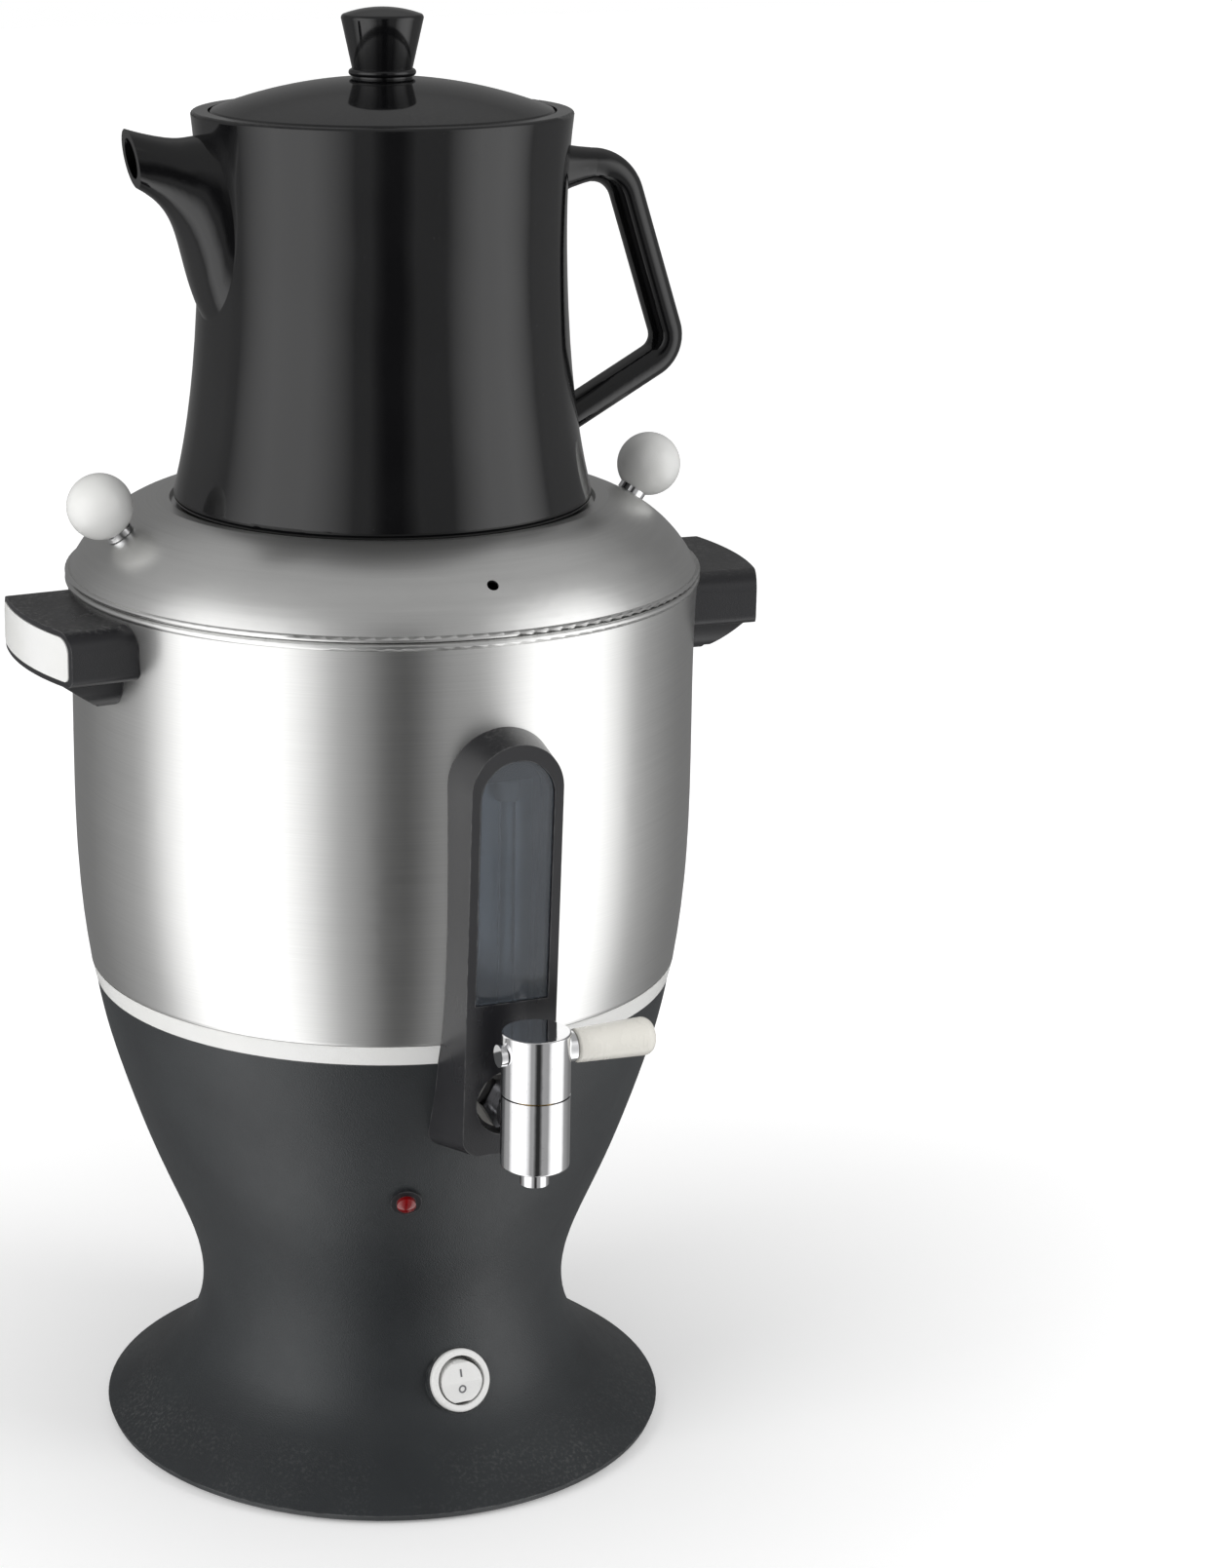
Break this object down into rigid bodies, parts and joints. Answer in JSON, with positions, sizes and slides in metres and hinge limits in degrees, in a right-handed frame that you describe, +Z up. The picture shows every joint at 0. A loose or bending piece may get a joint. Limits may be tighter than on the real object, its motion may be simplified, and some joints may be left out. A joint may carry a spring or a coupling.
{
  "type": "samovar",
  "caption": "Electric tea samovar: waisted plastic base, brushed steel water tank with sight gauge, tap and side handles, domed lid, and a lidded teapot on top.",
  "frame": {"origin": "on the floor, on the tank's upright axis", "axes": "+Z up; -Y towards the tap; +X to the right of someone facing the tap"},
  "size_m": [0.2414, 0.2379, 0.4638],
  "materials": {
    "base_plastic": "matt moulded, charcoal",
    "dark_plastic": "satin moulded, near black",
    "white_plastic": "gloss moulded, white",
    "ivory_plastic": "satin moulded, off-white",
    "steel": "brushed around the body",
    "chrome": "polished plating",
    "fastener": "bright zinc",
    "aluminium": "cast",
    "seal": "translucent silicone",
    "foot_rubber": "matt",
    "smoke": "smoked clear plastic",
    "clear": "clear tube",
    "red_lens": "clear red",
    "black_glaze": "gloss black glaze",
    "brass": "turned"
  },
  "bodies": {
    "base": {"base_housing": "base_plastic", "bottom_cover": "base_plastic", "gauge_tower": "dark_plastic", "side_handle_left": "dark_plastic", "side_handle_right": "dark_plastic", "cable_gland": "dark_plastic", "gland_nut": "dark_plastic", "thermal_fuse": "dark_plastic", "thermostat": "dark_plastic", "indicator_case": "dark_plastic", "trim_ring": "white_plastic", "handle_panel_left": "white_plastic", "handle_panel_right": "white_plastic", "switch_case": "white_plastic", "terminal_block": "white_plastic", "tank": "steel", "tap_body": "chrome", "tap_nut": "brass", "inner_nut": "brass", "cover_screw_1": "fastener", "cover_screw_2": "fastener", "cover_screw_3": "fastener", "cover_screw_4": "fastener", "tank_stud_1": "fastener", "tank_stud_2": "fastener", "tank_stud_3": "fastener", "stud_nut_1": "fastener", "stud_nut_2": "fastener", "stud_nut_3": "fastener", "handle_bolts_left": "fastener", "handle_bolts_right": "fastener", "heating_element": "fastener", "heating_plate": "aluminium", "tap_washer": "seal", "tank_seal": "seal", "gauge_seal_lower": "seal", "gauge_seal_upper": "seal", "rubber_foot_1": "foot_rubber", "rubber_foot_2": "foot_rubber", "rubber_foot_3": "foot_rubber", "rubber_foot_4": "foot_rubber", "gauge_window": "smoke", "gauge_tube": "clear", "indicator_lens": "red_lens"},
    "tap_lever": {"tap_plug": "brass", "tap_cap": "chrome", "lever_stem": "chrome", "lever_grip": "ivory_plastic"},
    "rocker": {"switch_rocker": "white_plastic"},
    "water_lid_body": {"water_lid": "steel", "lid_knob_left": "white_plastic", "lid_knob_right": "white_plastic", "lid_knob_collar_left": "chrome", "lid_knob_collar_right": "chrome", "lid_knob_screw_left": "fastener", "lid_knob_screw_right": "fastener"},
    "teapot_body": {"teapot": "black_glaze"},
    "teapot_lid_body": {"teapot_lid": "black_glaze", "teapot_lid_knob": "black_glaze", "teapot_lid_screw": "fastener"}
  },
  "joints": [
    {"name": "tap_turn", "type": "hinge", "parent": "base", "child": "tap_lever", "pos_m": [0, -0.1267, 0.15], "axis": [0, 0, 1], "range_deg": [-90, 0]},
    {"name": "switch_rock", "type": "hinge", "parent": "base", "child": "rocker", "pos_m": [0.00211, -0.06029, 0.03213], "axis": [0.9994, 0.0349, 0], "range_deg": [-14, 0]},
    {"name": "lid_lift", "type": "slide", "parent": "base", "child": "water_lid_body", "axis": [0, 0, 1], "range_m": [0, 0.15]},
    {"name": "teapot_lift", "type": "slide", "parent": "water_lid_body", "child": "teapot_body", "axis": [0, 0, 1], "range_m": [0, 0.12]},
    {"name": "teapot_lid_lift", "type": "slide", "parent": "teapot_body", "child": "teapot_lid_body", "axis": [0, 0, 1], "range_m": [0, 0.06]}
  ]
}
